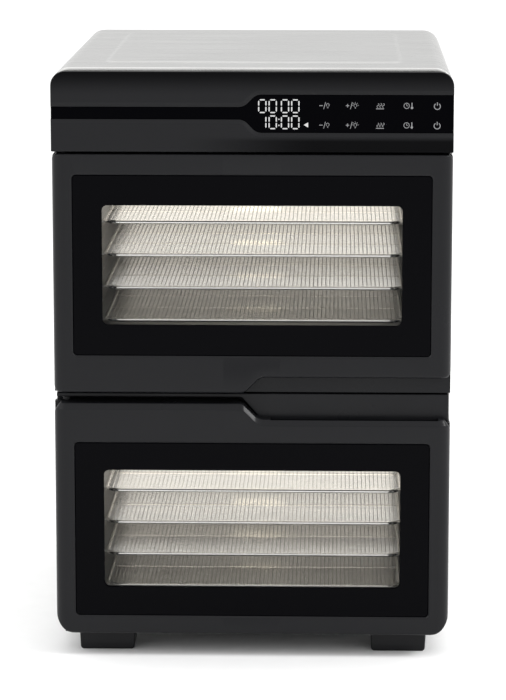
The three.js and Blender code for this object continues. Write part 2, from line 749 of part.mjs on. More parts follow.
// Blind bores for the hinge pins in a door's top and bottom edges.
function pinBores([low, high]) {
  const depth = PIN_LENGTH + 2;
  return rodZ(HINGE_X, HINGE_Y, PIN_R + GAP, [low - 2, low + depth]).add(
    rodZ(HINGE_X, HINGE_Y, PIN_R + GAP, [high - depth, high + 2]),
  );
}

// The plate that closes the back of the door round the window.
function doorLiner(name) {
  const windowZ = [WINDOW[name][0] - TUNNEL_MARGIN, WINDOW[name][1] + TUNNEL_MARGIN];
  const tunnelHalf = WINDOW_HALF_WIDTH + TUNNEL_MARGIN;
  const plate = alongY(doorBack(name, 4), [CASING_BACK_Y + GAP, DOOR_BACK_Y]);
  const hingeSide = block([-BIG, HINGE_X + 2], [-BIG, BIG], [0, BIG * 2]);
  const hole = block([-tunnelHalf, tunnelHalf], [-BIG, BIG], windowZ);
  return plate.subtract(hingeSide).subtract(hole);
}

// A flat ring that closes the gap between a door and the bulkhead, round the mouth of the chamber.
function doorSeal() {
  const width = 6;
  const half = MOUTH_HALF_WIDTH + 4;
  const z = [CHAMBER_Z[0] - 4, CHAMBER_Z[1] + 4];
  const y = [DOOR_BACK_Y + GAP, FRAME_FRONT_Y - GAP];
  const outer = rectangle([-half - width, half + width], [z[0] - width, z[1] + width], 10);
  const inner = rectangle([-half, half], z, 4);
  return alongY(outer, y, 3).subtract(alongY(inner, [y[0] - 1, y[1] + 1], 3));
}

function door(name, z) {
  const group = new THREE.Group();
  const glass = alongY(
    rectangle(
      [-GLASS_HALF_WIDTH + GAP, GLASS_HALF_WIDTH - GAP],
      [GLASS[name][0] + GAP, GLASS[name][1] - GAP],
      DOOR_CORNER_R - GAP,
    ),
    GLASS_Y,
    3,
  );
  group.add(piece(`${name}_door_casing`, doorCasing(name), BLACK));
  group.add(piece(`${name}_door_glass`, glass, TINTED));
  group.add(piece(`${name}_door_liner`, doorLiner(name), STEEL));
  const seal = piece(`${name}_door_seal`, doorSeal(), RUBBER);
  const strike = piece(
    `${name}_strike`,
    catchBlock(0.5, [DOOR_BACK_Y + GAP, DOOR_BACK_Y + GAP + 0.8]),
    STEEL,
  );
  seal.position.z = z;
  strike.position.z = z;
  group.add(seal, strike);
  return group;
}

// Hinges

function topPin() {
  const low = UPPER_DOOR.top - PIN_LENGTH;
  const headZ = FASCIA_LOW_Z + FASCIA_WALL + GAP;
  return rodZ(HINGE_X, HINGE_Y, PIN_R, [low, headZ + 1]).add(rodZ(HINGE_X, HINGE_Y, 3, [headZ, headZ + 2]));
}

function middlePin() {
  const collar = [LOWER_DOOR.top + 2 * GAP, DIVIDER_LEFT_Z - GAP];
  return rodZ(HINGE_X, HINGE_Y, PIN_R, [LOWER_DOOR.top - PIN_LENGTH, UPPER_DOOR.low + PIN_LENGTH]).add(
    rodZ(HINGE_X, HINGE_Y, 3.2, collar),
  );
}

// The bottom bracket: a leaf under the bulkhead that carries an upright pin.
function bottomBracket() {
  const leafX = [HINGE_X - 3, HINGE_X + 8];
  const leafZ = [BODY_BOTTOM_Z - GAP - 1.4, BODY_BOTTOM_Z - GAP];
  const leaf = block(leafX, [HINGE_Y - 3.5, FRAME_BACK_Y - 2], leafZ);
  return leaf.add(rodZ(HINGE_X, HINGE_Y, PIN_R, [leafZ[0], LOWER_DOOR.low + PIN_LENGTH]));
}

// Electrics and fasteners at the back

function screwPlaces() {
  return [-150, 150].flatMap((x) => [36, 490].map((z) => [x, z]));
}

function cordBushing() {
  const inside = REAR_PANEL_Y[0] - GAP;
  const outside = REAR_PANEL_Y[1] + GAP;
  const flangeR = BUSHING.neck + 2.5;
  return turned(
    [
      [BUSHING.bore, inside - 2],
      [flangeR - 0.5, inside - 2],
      [flangeR - 0.5, inside],
      [BUSHING.neck, inside],
      [BUSHING.neck, outside],
      [flangeR, outside],
      [flangeR, REAR_Y],
      [BUSHING.bore, REAR_Y],
      [BUSHING.bore, inside - 2],
    ],
    16,
  );
}

function screw() {
  const outside = REAR_PANEL_Y[1] + GAP;
  return rodY(0, 0, SCREW.head, [outside, REAR_Y], 12).add(
    rodY(0, 0, SCREW.shank, [REAR_PANEL_Y[0] - SCREW.length, outside + 0.5], 8),
  );
}

// The mains board above the upper chamber, on four posts, with its larger components.
function powerBoard() {
  const boardZ = 450;
  const postLowZ = CHAMBER_Z[1] + LINER_WALL + ZONES.upper + GAP;
  let board = block([-60, 60], [60, 160], [boardZ, boardZ + 1.6]);
  for (const x of [-54, 54]) {
    for (const y of [66, 154]) board = board.add(rodZ(x, y, 3, [postLowZ, boardZ + 1], 8));
  }
  return board
    .add(block([-50, -14], [75, 110], [boardZ + 1, boardZ + 30]))
    .add(block([0, 18], [72, 90], [boardZ + 1, boardZ + 17]))
    .add(block([26, 44], [72, 90], [boardZ + 1, boardZ + 17]))
    .add(block([-45, 45], [128, 146], [boardZ + 1, boardZ + 14]));
}

function rearFittings() {
  const group = new THREE.Group();
  const bushing = piece("cord_bushing", cordBushing(), BLACK);
  bushing.position.set(BUSHING.x, 0, BUSHING.z);
  group.add(bushing);
  screwPlaces().forEach(([x, z], i) => {
    const mesh = piece(`rear_screw_${i + 1}`, screw(), STEEL);
    mesh.position.set(x, 0, z);
    group.add(mesh);
  });
  return group;
}

function cabinet() {
  const group = new THREE.Group();
  group.add(piece("outer_cover", outerCover(), BRUSHED));
  group.add(piece("rear_panel", rearPanel(), DARK_STEEL));
  group.add(piece("base_pan", basePan(), DARK_STEEL));
  group.add(piece("front_frame", frontFrame(), BLACK));
  group.add(piece("power_board", powerBoard(), BOARD));
  group.add(piece("top_hinge_pin", topPin(), DARK_STEEL));
  group.add(piece("middle_hinge_pin", middlePin(), DARK_STEEL));
  group.add(piece("bottom_hinge_bracket", bottomBracket(), DARK_STEEL));
  group.add(feet(), controls(), rearFittings());
  return group;
}

const dehydrator = new THREE.Group();
dehydrator.name = "food_dehydrator";
dehydrator.add(cabinet());
for (const [name, z] of Object.entries(ZONES)) dehydrator.add(zone(name, z), door(name, z));

export default dehydrator;
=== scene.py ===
import json
import math

import bmesh
import bpy
import numpy as np
from mathutils import Matrix, Vector


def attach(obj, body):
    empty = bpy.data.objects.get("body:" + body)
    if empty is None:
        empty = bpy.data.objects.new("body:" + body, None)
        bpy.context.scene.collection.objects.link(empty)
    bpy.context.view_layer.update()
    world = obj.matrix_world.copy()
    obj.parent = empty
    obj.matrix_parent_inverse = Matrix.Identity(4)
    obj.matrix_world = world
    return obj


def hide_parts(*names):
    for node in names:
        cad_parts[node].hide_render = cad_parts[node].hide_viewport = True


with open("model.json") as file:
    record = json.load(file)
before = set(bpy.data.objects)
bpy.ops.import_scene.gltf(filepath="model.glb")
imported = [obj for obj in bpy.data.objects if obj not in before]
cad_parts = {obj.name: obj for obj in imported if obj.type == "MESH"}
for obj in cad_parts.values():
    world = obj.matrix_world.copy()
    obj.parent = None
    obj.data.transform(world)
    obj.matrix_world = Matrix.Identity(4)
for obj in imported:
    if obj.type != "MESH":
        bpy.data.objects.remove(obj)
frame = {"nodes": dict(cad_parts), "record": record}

# Lengths are millimetres until mesh_from() turns them into metres. X right, Y to the rear, Z up.
MM = 0.001

# Cabinet
HALF_WIDTH = 172.5
FRONT_Y = -210.0
REAR_Y = 210.0
GAP = 0.3
SHEET = 0.8
BODY_BOTTOM_Z = 19.9
COVER_TOP_Z = 518.5
COVER_R = 16.0
COVER_NOSE_Y = -200.0
NOSE_BEND_R = 2.0
NOSE_LIP = 3.5
SIDE_FRONT_Y = -180.0
EMBOSS_HEIGHT = 1.5
EMBOSS_HALF_WIDTH = 128.0
EMBOSS_Y = (-156.0, 164.0)
EMBOSS_CORNER_R = 12.0
EMBOSS_SLOPE = 3.0

# Control fascia and lens
FASCIA_Z = (446.9, 515.8)
FASCIA_CORNER_R = 12.3
# Painted shade on the fascia moulding: darker towards its upper edge, and towards its lower right
FASCIA_SHADE_Z = (494.0, 516.0)
FASCIA_SHADE_LOW_Z = (461.0, 456.0)
FASCIA_SHADE_RIGHT_X = (-75.0, 60.0)
DISPLAY_WELL_X = (2, 162)
DISPLAY_WELL_Z = (466.5, 493.3)
TOP_PIN_BORE_R = 3.4
LENS_FACE_Y = -208.2
LENS_BACK_Y = -206.3
LENS_SEAT_Y = -206.0
LENS_BORDER = 4.0
LENS_BORDER_EASE = 0.12
LENS_CORNERS = [
    (-180.0, 474.8, 0),
    (-7.0, 474.8, 11.3),
    (3.7, 463.5, 11.3),
    (180.0, 463.5, 0),
    (180.0, 496.3, 0),
    (3.7, 496.3, 11.3),
    (-7.0, 485.6, 11.3),
    (-180.0, 485.6, 0),
]

# Doors: "edges" gives the height and depth of the rounded or bevelled lower and upper front edges.
GRIP_WALL_Y = -196.0
CASING_BACK_Y = -184.3
DOOR_SIDE_R = 9.5
HINGE_X = -162.5
HINGE_Y = -192.0
HINGE_EDGE_R = 10.0
GLASS_HALF_WIDTH = 155.0
GLASS_Y = (-209.2, -205.2)
GLASS_CORNER_R = 3.5
GLASS_REBATE = ((2.2, -1.0), (1.7, 0.0), (1.1, 0.18), (0.15, 0.9), (0.0, 1.1))
WINDOW_HALF_WIDTH = 129.5
WINDOW_CORNER_R = 5.0
TUNNEL_MARGIN = 5.0
GRIP_X = (16.0, 162.0)
GRIP_SKIN = 3.0
PIN_LENGTH = 11.0
PIN_BORE_R = 2.3
BEVEL_RUN_OUT = 1.15
BEVEL_SPACING = 1.5
BEVEL_EASE = 0.2
BEVEL_NOSE_R = 0.7
DOORS = {
    "upper": {
        "low": [(-6.5, 236.4, 10.0), (7.3, 250.2, 12.0)],
        "high": [],
        "z": (236.4, 444.9),
        "ends_low": (236.4, 250.2),
        "ends_high": (444.9, 444.9),
        "corner": (3.5, 3.5),
        "edges": ((3.0, 3.0), (1.6, 1.6)),
        "back": [(-172.5, 235.4, 0), (172.5, 235.4, 0), (172.5, 444.9, 3.5), (-172.5, 444.9, 3.5)],
        "glass": (269.3, 427.0),
        "window": (296.1, 400.7),
        "grip": (234.4, 262.2),
    },
    "lower": {
        "low": [],
        "high": [(-8.5, 227.0, 6.0), (5.4, 213.1, 12.0)],
        "z": (20.4, 227.0),
        "ends_low": (20.4, 20.4),
        "ends_high": (227.0, 213.1),
        "corner": (16.0, 3.5),
        "edges": ((2.5, 2.5), (5.0, 3.5)),
        "back": [
            (-172.5, 20.4, 16.0),
            (172.5, 20.4, 16.0),
            (172.5, 208.5, 0),
            (5.4, 208.5, 5.0),
            (-12.5, 227.0, 5.0),
            (-172.5, 227.0, 0),
        ],
        "glass": (36.8, 192.3),
        "window": (62.5, 167.8),
        "grip": (200.1, 228.0),
    },
}

# Bulkhead and divider
FRAME_Y = (-180.0, -165.0)
MOUTH_HALF_WIDTH = 140.0
MOUTH_FLARE = ((2.6, -181.0), (1.6, -180.0), (0.5, -179.5), (0.0, -178.4), (0.0, -164.0))
CATCH_WINDOW_X = (152, 165)
CATCH_WINDOW_Z = (97, 123)
CHAMBER_Z = (34.0, 186.0)
ZONES = {"upper": 240.0, "lower": 0.0}
DIVIDER = [
    (-171.0, 230.3, 0.8),
    (-9.5, 230.3, 5.0),
    (8.4, 210.0, 5.0),
    (171.0, 210.0, 0.8),
    (171.0, 233.8, 0.8),
    (-171.0, 233.8, 0.8),
]

# Trays
TRAY_COUNT = 4
LOWEST_TRAY_Z = 53.5
TRAY_PITCH = 29.0
TRAY_HALF_WIDTH = 132.0
TRAY_Y = (-169.6, 105.6)
TRAY_ROD_R = 1.6
TRAY_CORNER_R = 13.0
MESH_PITCH = 3.6
MESH_WIRE_R = 0.36
SUPPORT_ROD_R = 0.85
SUPPORT_RODS = 3

# Feet
FOOT_X = (104.25, 153.75)
FOOT_Y = 169.0
FOOT_DEPTH = 38.0
FOOT_HEIGHT = 19.6

# Display
DIGIT_WIDTH = 7.2
DIGIT_HEIGHT = 11.9
DIGIT_STROKE = 1.05
DIGIT_X = (5.3, 14.2, 24.7, 33.5)
ROW_Z = (486.4, 472.6)
ICON_X = (61.7, 84.9, 109.4, 133.7, 158.2)
ICON_ROW_Z = (487.0, 470.3)
PRINT_DEPTH = 0.06
ARROW = [(44.3, 470.4), (48.1, 468.2), (48.1, 472.6)]
COLON_X = 23.1
COLON_Z = (475.2, 470.0)

# Studio: the camera's place and aim are in metres. The sky's strength is given as the two ends of
# a range of direction, up and sideways, and the strength at each end.
FLOOR_REACH = 20000
CAMERA_PLACE = (0.074, -2.86, 0.760)
CAMERA_AIM = (0.001, -0.21, 0.275)
CAMERA_LENS = 160.1
SKY_RISE = (0.0, 0.6, 0.70, 1.08)
SKY_FLANK = (0.0, 0.45, 0.0, 0.35)
CHAMBER_LIGHT_COLOUR = (1.0, 0.94, 0.86)


# Outlines


def corner_arc(before, corner, after, inset, steps):
    """Points round one corner of an anticlockwise outline that has moved inwards by inset."""
    x, z, radius = corner
    a, p, b = Vector(before[:2]), Vector((x, z)), Vector(after[:2])
    along_in = (p - a).normalized()
    along_out = (b - p).normalized()
    inward_in = Vector((-along_in.y, along_in.x))
    inward_out = Vector((-along_out.y, along_out.x))
    q = p + (inward_in + inward_out) * (inset / (1 + inward_in.dot(inward_out)))
    if radius <= 0:
        return [tuple(q)]
    left_turn = along_in.cross(along_out) > 0
    r = max(radius - inset if left_turn else radius + inset, 0.05)
    turn = math.acos(max(-1.0, min(1.0, along_in.dot(along_out))))
    start = q - along_in * (r * math.tan(turn / 2))
    towards = inward_in if left_turn else -inward_in
    centre = start + towards * r
    sign = 1 if left_turn else -1
    arm = start - centre
    points = []
    for k in range(steps + 1):
        angle = sign * turn * k / steps
        turned = Matrix.Rotation(angle, 2) @ arm
        points.append(tuple(centre + turned))
    return points


def outline(corners, inset=0.0, steps=8):
    points = []
    count = len(corners)
    for i, corner in enumerate(corners):
        points += corner_arc(corners[i - 1], corner, corners[(i + 1) % count], inset, steps)
    return points


def box_corners(x, z, radius):
    return [(x[0], z[0], radius), (x[1], z[0], radius), (x[1], z[1], radius), (x[0], z[1], radius)]


def edge_height(x0, x1, ends, corner_r, bends, top):
    """The height of a door's upper or lower edge as a function of x."""
    side = -1 if top else 1
    path = [(x0, ends[0] + side * 40, 0), (x0, ends[0], corner_r)]
    path += bends
    path += [(x1, ends[1], corner_r), (x1, ends[1] + side * 40, 0)]
    points = []
    for i in range(1, len(path) - 1):
        points += corner_arc(path[i - 1], path[i], path[i + 1], 0.0, 16)
    xs = [p[0] for p in points]
    zs = [p[1] for p in points]
    return lambda x: float(np.interp(x, xs, zs))


# Meshes


def mesh_from(verts, faces, name="part"):
    mesh = bpy.data.meshes.new(name)
    mesh.from_pydata([(x * MM, y * MM, z * MM) for x, y, z in verts], [], faces)
    shape = bmesh.new()
    shape.from_mesh(mesh)
    bmesh.ops.recalc_face_normals(shape, faces=shape.faces)
    shape.to_mesh(mesh)
    shape.free()
    return mesh


def object_from(verts, faces, name="part"):
    thing = bpy.data.objects.new(name, mesh_from(verts, faces, name))
    bpy.context.scene.collection.objects.link(thing)
    return thing


def loft(rings):
    """A closed solid through rings that each have the same number of (x, z) points and one y."""
    count = len(rings[0][0])
    verts = [(x, y, z) for points, y in rings for x, z in points]
    faces = []
    for k in range(len(rings) - 1):
        for i in range(count):
            a = k * count + i
            b = k * count + (i + 1) % count
            faces.append((a, a + count, b + count, b))
    last = (len(rings) - 1) * count
    faces.append(tuple(range(count)))
    faces.append(tuple(last + i for i in reversed(range(count))))
    return object_from(verts, faces)


def slab(corners, y0, y1, front_r=0.0, back_r=0.0, steps=8):
    """An outline taken from y0 back to y1, with rounded front and back edges."""
    rings = []
    bend = 4
    for radius, y, sign in ((front_r, y0, 1), (back_r, y1, -1)):
        section = []
        for k in range(bend + 1 if radius else 1):
            angle = math.pi / 2 * k / bend
            drop = radius * (1 - math.cos(angle))
            inset = radius * (1 - math.sin(angle)) if radius else 0.0
            section.append((outline(corners, inset, steps), y + sign * drop))
        rings += section if sign == 1 else section[::-1]
    return loft(rings)


def rod(start, end, radius, sides=12):
    """A straight round bar between two points."""
    a, b = Vector(start), Vector(end)
    axis = (b - a).normalized()
    side = axis.orthogonal().normalized()
    up = axis.cross(side)
    verts = []
    for centre in (a, b):
        for k in range(sides):
            angle = 2 * math.pi * k / sides
            verts.append(tuple(centre + side * radius * math.cos(angle) + up * radius * math.sin(angle)))
    faces = [(k, (k + 1) % sides, sides + (k + 1) % sides, sides + k) for k in range(sides)]
    faces += [tuple(range(sides)), tuple(range(2 * sides - 1, sides - 1, -1))]
    return object_from(verts, faces)


def baked(thing):
    """Turns an object's modifiers into plain mesh."""
    depsgraph = bpy.context.evaluated_depsgraph_get()
    mesh = bpy.data.meshes.new_from_object(thing.evaluated_get(depsgraph))
    thing.modifiers.clear()
    thing.data = mesh
    return thing


def combine(target, other, operation):
    modifier = target.modifiers.new("combine", "BOOLEAN")
    modifier.operation = operation
    modifier.solver = "MANIFOLD"
    modifier.object = other
    baked(target)
    bpy.data.objects.remove(other)
    return target


def cut(target, other):
    return combine(target, other, "DIFFERENCE")


def join(target, other):
    return combine(target, other, "UNION")


def present(thing, name, body, look, nodes=(), sharp=30, weighted=True):
    """Names a finished shape, gives it its finish and hangs it on its body."""
    thing.name = name
    thing.data.name = name
    if look is not None:
        thing.data.materials.clear()
        thing.data.materials.append(look)
    thing.data.shade_smooth()
    thing.data.set_sharp_from_angle(angle=math.radians(sharp))
    if weighted:
        modifier = thing.modifiers.new("even_shading", "WEIGHTED_NORMAL")
        modifier.keep_sharp = True
        modifier.weight = 100
    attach(thing, body)
    if nodes:
        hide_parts(*nodes)
    return thing


# Finishes


def finish_tree(name):
    look = bpy.data.materials.new(name)
    look.use_nodes = True
    nodes = look.node_tree.nodes
    return look, nodes, look.node_tree.links, nodes["Principled BSDF"]


def noise(nodes, links, stretch, scale, detail=4.0):
    place = nodes.new("ShaderNodeTexCoord")
    mapping = nodes.new("ShaderNodeMapping")
    mapping.inputs["Scale"].default_value = stretch
    texture = nodes.new("ShaderNodeTexNoise")
    texture.inputs["Scale"].default_value = scale
    texture.inputs["Detail"].default_value = detail
    links.new(place.outputs["Object"], mapping.inputs["Vector"])
    links.new(mapping.outputs["Vector"], texture.inputs["Vector"])
    return texture.outputs["Fac"]


def vary(nodes, links, source, low, high, socket):
    spread = nodes.new("ShaderNodeMapRange")
    spread.inputs["From Min"].default_value = 0.3
    spread.inputs["From Max"].default_value = 0.7
    spread.inputs["To Min"].default_value = low
    spread.inputs["To Max"].default_value = high
    links.new(source, spread.inputs["Value"])
    links.new(spread.outputs["Result"], socket)


def vary_colour(nodes, links, source, low, high, socket):
    ramp = nodes.new("ShaderNodeValToRGB")
    ramp.color_ramp.elements[0].position = 0.3
    ramp.color_ramp.elements[0].color = (*low, 1)
    ramp.color_ramp.elements[1].position = 0.7
    ramp.color_ramp.elements[1].color = (*high, 1)
    links.new(source, ramp.inputs["Fac"])
    links.new(ramp.outputs["Color"], socket)


def bump(nodes, links, source, shader, distance, strength=1.0):
    relief = nodes.new("ShaderNodeBump")
    relief.inputs["Strength"].default_value = strength
    relief.inputs["Distance"].default_value = distance
    links.new(source, relief.inputs["Height"])
    links.new(relief.outputs["Normal"], shader.inputs["Normal"])


def scaled(colour, factor):
    return tuple(min(1.0, c * factor) for c in colour)


def metal(name, colour, roughness, stretch, scale, swing=0.06, tone=0.06, relief=0.00001):
    look, nodes, links, shader = finish_tree(name)
    shader.inputs["Metallic"].default_value = 1.0
    streaks = noise(nodes, links, stretch, scale)
    vary(nodes, links, streaks, roughness - swing, roughness + swing, shader.inputs["Roughness"])
    low, high = scaled(colour, 1 - tone), scaled(colour, 1 + tone)
    vary_colour(nodes, links, streaks, low, high, shader.inputs["Base Color"])
    bump(nodes, links, streaks, shader, relief, 0.5)
    return look


def plastic(name, colour, roughness, specular, grain, relief, swing=0.05, tone=0.1):
    look, nodes, links, shader = finish_tree(name)
    shader.inputs["Specular IOR Level"].default_value = specular
    fine = noise(nodes, links, (1, 1, 1), grain)
    broad = noise(nodes, links, (1, 1, 1), 18.0, 3.0)
    vary(nodes, links, broad, roughness - swing, roughness + swing, shader.inputs["Roughness"])
    low, high = scaled(colour, 1 - tone), scaled(colour, 1 + tone)
    vary_colour(nodes, links, fine, low, high, shader.inputs["Base Color"])
    bump(nodes, links, fine, shader, relief, 0.6)
    return look


def lit(name, colour, strength, body=0.9):
    """A lit surface; body is how light it is by itself, unlit."""
    look, nodes, links, shader = finish_tree(name)
    shader.inputs["Roughness"].default_value = 0.5
    shader.inputs["Emission Strength"].default_value = strength
    fine = noise(nodes, links, (1, 1, 1), 400.0)
    vary_colour(nodes, links, fine, scaled(colour, 0.94), colour, shader.inputs["Emission Color"])
    low, high = scaled(colour, 0.94 * body), scaled(colour, body)
    vary_colour(nodes, links, fine, low, high, shader.inputs["Base Color"])
    return look


def clear_glass():
    look, nodes, links, shader = finish_tree("door_glass_clear")
    shader.inputs["Base Color"].default_value = (0.02, 0.022, 0.024, 1)
    shader.inputs["Specular IOR Level"].default_value = 0.3
    smears = noise(nodes, links, (1, 1, 1), 30.0)
    vary(nodes, links, smears, 0.02, 0.05, shader.inputs["Roughness"])
    vary(nodes, links, smears, 0.05, 0.07, shader.inputs["Alpha"])
    return look


def circuit_board():
    look, nodes, links, shader = finish_tree("circuit_board")
    tracks = nodes.new("ShaderNodeTexBrick")
    tracks.inputs["Scale"].default_value = 160.0
    tracks.inputs["Color1"].default_value = (0.02, 0.10, 0.04, 1)
    tracks.inputs["Color2"].default_value = (0.015, 0.08, 0.03, 1)
    tracks.inputs["Mortar"].default_value = (0.05, 0.16, 0.07, 1)
    place = nodes.new("ShaderNodeTexCoord")
    links.new(place.outputs["Object"], tracks.inputs["Vector"])
    links.new(tracks.outputs["Color"], shader.inputs["Base Color"])
    fine = noise(nodes, links, (1, 1, 1), 300.0)
    vary(nodes, links, fine, 0.35, 0.5, shader.inputs["Roughness"])
    return look


def ramp(nodes, start, end, low=0.0, high=1.0):
    """A map that goes smoothly from low at start to high at end."""
    spread = nodes.new("ShaderNodeMapRange")
    spread.interpolation_type = "SMOOTHSTEP"
    spread.inputs["From Min"].default_value = start
    spread.inputs["From Max"].default_value = end
    spread.inputs["To Min"].default_value = low
    spread.inputs["To Max"].default_value = high
    return spread


def two_values(nodes, links, operation, first, second):
    both = nodes.new("ShaderNodeMath")
    both.operation = operation
    links.new(first, both.inputs[0])
    links.new(second, both.inputs[1])
    return both.outputs["Value"]


def fascia_moulding_painted_shade(colour, shade_colour):
    """The black moulding of the fascia, with painted shade that darkens it towards its upper edge and its
    lower right, where its gloss is also turned down.
    """
    look = plastic("fascia_moulding_painted_shade", colour, 0.32, 0.18, 2200.0, 0.00003)
    nodes, links = look.node_tree.nodes, look.node_tree.links
    shader = nodes["Principled BSDF"]
    place = nodes.new("ShaderNodeTexCoord")
    split = nodes.new("ShaderNodeSeparateXYZ")
    links.new(place.outputs["Object"], split.inputs["Vector"])
    masks = []
    for axis, reach in (("Z", FASCIA_SHADE_Z), ("X", FASCIA_SHADE_RIGHT_X), ("Z", FASCIA_SHADE_LOW_Z)):
        mask = ramp(nodes, reach[0] * MM, reach[1] * MM)
        links.new(split.outputs[axis], mask.inputs["Value"])
        masks.append(mask.outputs["Result"])
    # depth is the strength of the painted shade: full at the upper edge and at the lower right
    low_right = two_values(nodes, links, "MULTIPLY", masks[1], masks[2])
    depth = two_values(nodes, links, "MAXIMUM", masks[0], low_right)
    mix = nodes.new("ShaderNodeMix")
    mix.data_type = "RGBA"
    grain = shader.inputs["Base Color"].links[0].from_socket
    links.new(depth, mix.inputs["Factor"])
    links.new(grain, mix.inputs["A"])
    mix.inputs["B"].default_value = (*shade_colour, 1)
    links.new(mix.outputs["Result"], shader.inputs["Base Color"])
    # The painted shade also turns the gloss down
    sheen = ramp(nodes, 0.0, 1.0, 0.18, 0.045)
    sheen.interpolation_type = "LINEAR"
    links.new(depth, sheen.inputs["Value"])
    links.new(sheen.outputs["Result"], shader.inputs["Specular IOR Level"])
    return look


LOOKS = {
    "brushed_cover": metal("brushed_cover", (0.56, 0.56, 0.55), 0.28, (2, 200, 2), 4.0, 0.08, 0.14, 0.00005),
    "coated_steel": plastic("coated_steel", (0.014, 0.014, 0.015), 0.5, 0.2, 1600.0, 0.00006),
    "black_moulding": plastic("black_moulding", (0.0070, 0.0072, 0.0084), 0.32, 0.18, 2200.0, 0.00003),
    "gloss_lens": plastic("gloss_lens", (0.0008, 0.0008, 0.0013), 0.08, 0.015, 900.0, 0.000001, 0.02, 0.05),
    "display": plastic("display", (0.006, 0.006, 0.008), 0.2, 0.3, 900.0, 0.000002, 0.04, 0.05),
    "circuit_board": circuit_board(),
    "chamber_steel": metal("chamber_steel", (0.50, 0.50, 0.49), 0.5, (3, 40, 200), 4.0),
    "bright_steel": metal("bright_steel", (0.75, 0.75, 0.76), 0.18, (30, 30, 30), 8.0, 0.04, 0.03),
    "heater_sheath": metal("heater_sheath", (0.30, 0.26, 0.22), 0.4, (20, 20, 20), 6.0, 0.08, 0.25),
    "lamp_lens": lit("lamp_lens", (1.0, 0.9, 0.7), 1.5),
    "door_glass": plastic(
        "door_glass_border", (0.0012, 0.0012, 0.0018), 0.06, 0.035, 600.0, 0.000001, 0.02, 0.05
    ),
    "silicone": plastic("silicone", (0.05, 0.05, 0.05), 0.75, 0.3, 900.0, 0.00005),
    "tray_wire": metal("tray_wire", (0.78, 0.77, 0.74), 0.22, (60, 60, 60), 8.0, 0.05, 0.04),
}
# The fascia's second colour is the painted shade that darkens its upper edge and lower right
FASCIA_LOOK = fascia_moulding_painted_shade((0.0070, 0.0072, 0.0084), (0.0018, 0.0018, 0.0022))
CLEAR_GLASS = clear_glass()
PRINT = lit("lens_print_white", (1.0, 1.0, 1.0), 0.68, 0.05)
ICON_PRINT = lit("lens_print_grey", (0.60, 0.60, 0.62), 0.45, 0.05)


# Cabinet pieces


def emboss_rise(x, y):
    """Height of the raised rectangle in the top at a point."""
    middle_y = sum(EMBOSS_Y) / 2
    dx = abs(x) - EMBOSS_HALF_WIDTH + EMBOSS_CORNER_R
    dy = abs(y - middle_y) - (EMBOSS_Y[1] - EMBOSS_Y[0]) / 2 + EMBOSS_CORNER_R
    outside = math.hypot(max(dx, 0), max(dy, 0)) + min(max(dx, dy), 0) - EMBOSS_CORNER_R
    t = max(0.0, min(1.0, 0.5 - outside / (2 * EMBOSS_SLOPE)))
    return EMBOSS_HEIGHT * t * t * (3 - 2 * t)


def graded(points, dense, spacing):
    """Sorted positions with extra ones through each dense range."""
    found = set(points)
    for low, high in dense:
        count = max(1, round((high - low) / spacing))
        found.update(round(low + (high - low) * k / count, 4) for k in range(count + 1))
    return sorted(found)


def cover_section():
    """Points round the cover from one bottom return to the other: x, z, outward normal and radius."""
    points = []
    middle_x = HALF_WIDTH - COVER_R
    low_z, high_z = BODY_BOTTOM_Z + COVER_R, COVER_TOP_Z - COVER_R
    arc = 14
    for k in range(arc + 1):
        angle = math.radians(270 - 90 * k / arc)
        points.append((-middle_x, low_z, math.cos(angle), math.sin(angle), COVER_R))
    for k in range(1, 6):
        points.append((-middle_x, low_z + (high_z - low_z) * k / 6, -1.0, 0.0, COVER_R))
    for k in range(arc + 1):
        angle = math.radians(180 - 90 * k / arc)
        points.append((-middle_x, high_z, math.cos(angle), math.sin(angle), COVER_R))
    slope = EMBOSS_HALF_WIDTH - EMBOSS_CORNER_R - EMBOSS_SLOPE
    crest = EMBOSS_HALF_WIDTH + EMBOSS_SLOPE
    across = graded([0, -60, 60, -100, 100], [(-crest, -slope), (slope, crest)], 1.0)
    for x in across:
        points.append((x, high_z, 0.0, 1.0, COVER_R))
    points += [(-x, z, -nx, nz, r) for x, z, nx, nz, r in reversed(points[: 2 * arc + 7])]
    return points


def cover_rows():
    """Front-to-back positions and how far each has turned in at the nose."""
    rows = [(COVER_NOSE_Y, NOSE_LIP), (COVER_NOSE_Y, NOSE_BEND_R)]
    bend = 6
    for k in range(1, bend + 1):
        angle = math.pi / 2 * k / bend
        rows.append((COVER_NOSE_Y + NOSE_BEND_R * (1 - math.cos(angle)), NOSE_BEND_R * (1 - math.sin(angle))))
    reach = EMBOSS_SLOPE
    inner = EMBOSS_CORNER_R + EMBOSS_SLOPE
    dense = [(EMBOSS_Y[0] - reach, EMBOSS_Y[0] + inner), (EMBOSS_Y[1] - inner, EMBOSS_Y[1] + reach)]
    rows += [(y, 0.0) for y in graded([SIDE_FRONT_Y, -170, -60, 0, 60, 190, REAR_Y], dense, 1.0)]
    return rows


def cover_skin():
    """The outer skin of the cover, open at the front, the back and below."""
    section = cover_section()
    rows = cover_rows()
    high_z = COVER_TOP_Z - COVER_R
    verts = []
    for y, inset in rows:
        for x, z, nx, nz, radius in section:
            rise = emboss_rise(x, y) if nz == 1.0 else 0.0
            reach = radius - inset
            verts.append((x + nx * reach, y, z + nz * reach + rise))
    faces = []
    width = len(section)
    for r in range(len(rows) - 1):
        for i in range(width - 1):
            on_top = section[i][1] >= high_z and section[i + 1][1] >= high_z
            if rows[r][0] < SIDE_FRONT_Y and not on_top:
                continue
            a = r * width + i
            faces.append((a, a + 1, a + width + 1, a + width))
    return object_from(verts, faces)


